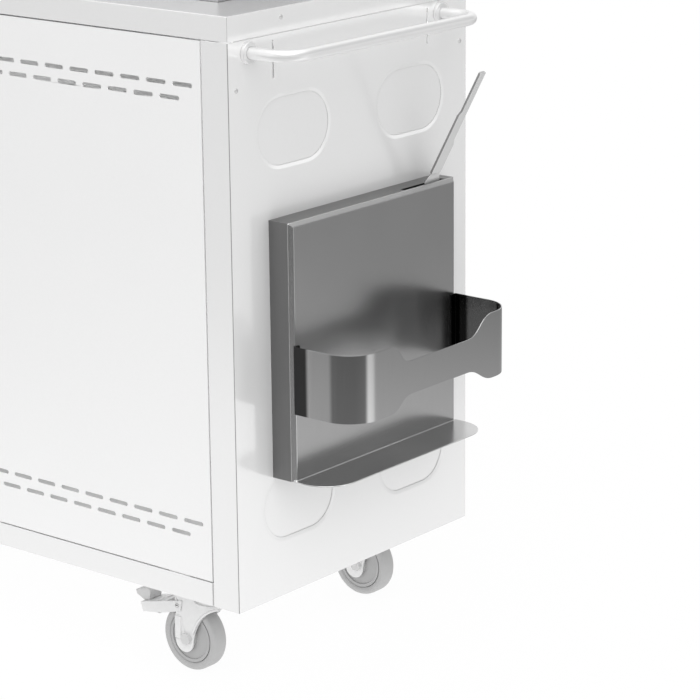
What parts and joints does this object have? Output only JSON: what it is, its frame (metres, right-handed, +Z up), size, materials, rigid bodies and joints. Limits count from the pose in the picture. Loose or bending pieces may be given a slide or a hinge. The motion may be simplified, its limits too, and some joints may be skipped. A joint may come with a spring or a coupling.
{
  "type": "plancha trolley",
  "caption": "Wheeled steel trolley with a slotted cabinet, built-in griddle, end push handles, braked casters and a side holder for bottles and a spatula.",
  "frame": {"origin": "on the floor, under the middle of the whole trolley with its handles and side holder", "axes": "+X along the cabinet towards the end with the bottle holder, +Y towards the cook's side with doors and knobs, +Z up"},
  "size_m": [1.2224, 0.555, 1.072],
  "materials": {
    "cabinet_steel": "satin, pale",
    "ledge_steel": "satin, dark grey",
    "holder_steel": "brushed",
    "handle_steel": "polished tube",
    "griddle_steel": "satin",
    "cooking_chrome": "ground and hard chromed",
    "burner_steel": "matt",
    "valve_brass": "machined",
    "caster_zinc": "zinc plated",
    "wheel_plastic": "moulded",
    "tyre_rubber": "matt grey",
    "brake_plastic": "moulded",
    "knob_plastic": "moulded"
  },
  "bodies": {
    "cabinet": {"bottom_deck": "cabinet_steel", "end_panel_right": "cabinet_steel", "end_panel_left": "cabinet_steel", "front_panel": "cabinet_steel", "worktop_rim": "cabinet_steel", "griddle_bay": "cabinet_steel", "door_header": "cabinet_steel", "caster_rails": "cabinet_steel", "worktop_ledge": "ledge_steel", "push_handle_right": "handle_steel", "push_handle_left": "handle_steel", "handle_collars": "handle_steel", "hinge_pins": "handle_steel", "griddle_casing": "griddle_steel", "burner_supports": "griddle_steel", "splash_guard": "griddle_steel", "control_fascia": "griddle_steel", "drawer_runners": "griddle_steel", "cooking_plate": "cooking_chrome", "burners": "burner_steel", "gas_manifold": "valve_brass", "gas_valves": "valve_brass", "holder_box": "holder_steel", "holder_plate": "holder_steel", "bottle_band": "holder_steel", "caster_plates": "caster_zinc", "swivel_races": "caster_zinc"},
    "fork_front_right": {"fork_front_right": "caster_zinc", "axle_front_right": "caster_zinc"},
    "wheel_front_right": {"wheel_core_front_right": "wheel_plastic", "tyre_front_right": "tyre_rubber"},
    "fork_front_left": {"fork_front_left": "caster_zinc", "axle_front_left": "caster_zinc"},
    "wheel_front_left": {"wheel_core_front_left": "wheel_plastic", "tyre_front_left": "tyre_rubber"},
    "fork_rear_right": {"fork_rear_right": "caster_zinc", "axle_rear_right": "caster_zinc"},
    "wheel_rear_right": {"wheel_core_rear_right": "wheel_plastic", "tyre_rear_right": "tyre_rubber"},
    "fork_rear_left": {"fork_rear_left": "caster_zinc", "axle_rear_left": "caster_zinc"},
    "wheel_rear_left": {"wheel_core_rear_left": "wheel_plastic", "tyre_rear_left": "tyre_rubber"},
    "brake_front_right": {"brake_lever_front_right": "caster_zinc", "brake_step_front_right": "brake_plastic"},
    "brake_front_left": {"brake_lever_front_left": "caster_zinc", "brake_step_front_left": "brake_plastic"},
    "door_right": {"door_right": "cabinet_steel", "door_pull_right": "handle_steel"},
    "door_left": {"door_left": "cabinet_steel", "door_pull_left": "handle_steel"},
    "knob_left": {"knob_left": "knob_plastic", "valve_stem_left": "valve_brass"},
    "knob_middle": {"knob_middle": "knob_plastic", "valve_stem_middle": "valve_brass"},
    "knob_right": {"knob_right": "knob_plastic", "valve_stem_right": "valve_brass"},
    "grease_drawer": {"grease_drawer": "griddle_steel"},
    "spatula": {"spatula_blade": "holder_steel", "spatula_grip": "holder_steel"}
  },
  "joints": [
    {"name": "swivel_front_right", "type": "hinge", "parent": "cabinet", "child": "fork_front_right", "pos_m": [0.35525, -0.21, 0.11], "axis": [0, 0, 1], "continuous": true},
    {"name": "roll_front_right", "type": "hinge", "parent": "fork_front_right", "child": "wheel_front_right", "pos_m": [0.31575, -0.21, 0.05], "axis": [0, 1, 0], "continuous": true},
    {"name": "swivel_front_left", "type": "hinge", "parent": "cabinet", "child": "fork_front_left", "pos_m": [-0.42075, -0.21, 0.11], "axis": [0, 0, 1], "continuous": true},
    {"name": "roll_front_left", "type": "hinge", "parent": "fork_front_left", "child": "wheel_front_left", "pos_m": [-0.46025, -0.21, 0.05], "axis": [0, 1, 0], "continuous": true},
    {"name": "swivel_rear_right", "type": "hinge", "parent": "cabinet", "child": "fork_rear_right", "pos_m": [0.35525, 0.182, 0.11], "axis": [0, 0, 1], "continuous": true},
    {"name": "roll_rear_right", "type": "hinge", "parent": "fork_rear_right", "child": "wheel_rear_right", "pos_m": [0.31575, 0.182, 0.05], "axis": [0, 1, 0], "continuous": true},
    {"name": "swivel_rear_left", "type": "hinge", "parent": "cabinet", "child": "fork_rear_left", "pos_m": [-0.42075, 0.182, 0.11], "axis": [0, 0, 1], "continuous": true},
    {"name": "roll_rear_left", "type": "hinge", "parent": "fork_rear_left", "child": "wheel_rear_left", "pos_m": [-0.46025, 0.182, 0.05], "axis": [0, 1, 0], "continuous": true},
    {"name": "brake_press_front_right", "type": "hinge", "parent": "fork_front_right", "child": "brake_front_right", "pos_m": [0.29975, -0.21, 0.0985], "axis": [0, -1, 0], "range_deg": [0, 12]},
    {"name": "brake_press_front_left", "type": "hinge", "parent": "fork_front_left", "child": "brake_front_left", "pos_m": [-0.47625, -0.21, 0.0985], "axis": [0, -1, 0], "range_deg": [0, 12]},
    {"name": "door_right_swing", "type": "hinge", "parent": "cabinet", "child": "door_right", "pos_m": [0.40475, 0.2415, 0.4795], "axis": [0, 0, -1], "range_deg": [0, 95]},
    {"name": "door_left_swing", "type": "hinge", "parent": "cabinet", "child": "door_left", "pos_m": [-0.47025, 0.2415, 0.4795], "axis": [0, 0, 1], "range_deg": [0, 95]},
    {"name": "knob_left_turn", "type": "hinge", "parent": "cabinet", "child": "knob_left", "pos_m": [-0.29875, 0.2495, 0.952], "axis": [0, 1, 0], "range_deg": [0, 180]},
    {"name": "knob_middle_turn", "type": "hinge", "parent": "cabinet", "child": "knob_middle", "pos_m": [-0.03275, 0.2495, 0.952], "axis": [0, 1, 0], "range_deg": [0, 180]},
    {"name": "knob_right_turn", "type": "hinge", "parent": "cabinet", "child": "knob_right", "pos_m": [0.23325, 0.2495, 0.952], "axis": [0, 1, 0], "range_deg": [0, 180]},
    {"name": "grease_drawer_slide", "type": "slide", "parent": "cabinet", "child": "grease_drawer", "axis": [0, 1, 0], "range_m": [0, 0.28]},
    {"name": "spatula_lift", "type": "slide", "parent": "cabinet", "child": "spatula", "axis": [0, 0, 1], "range_m": [0, 0.118]}
  ]
}
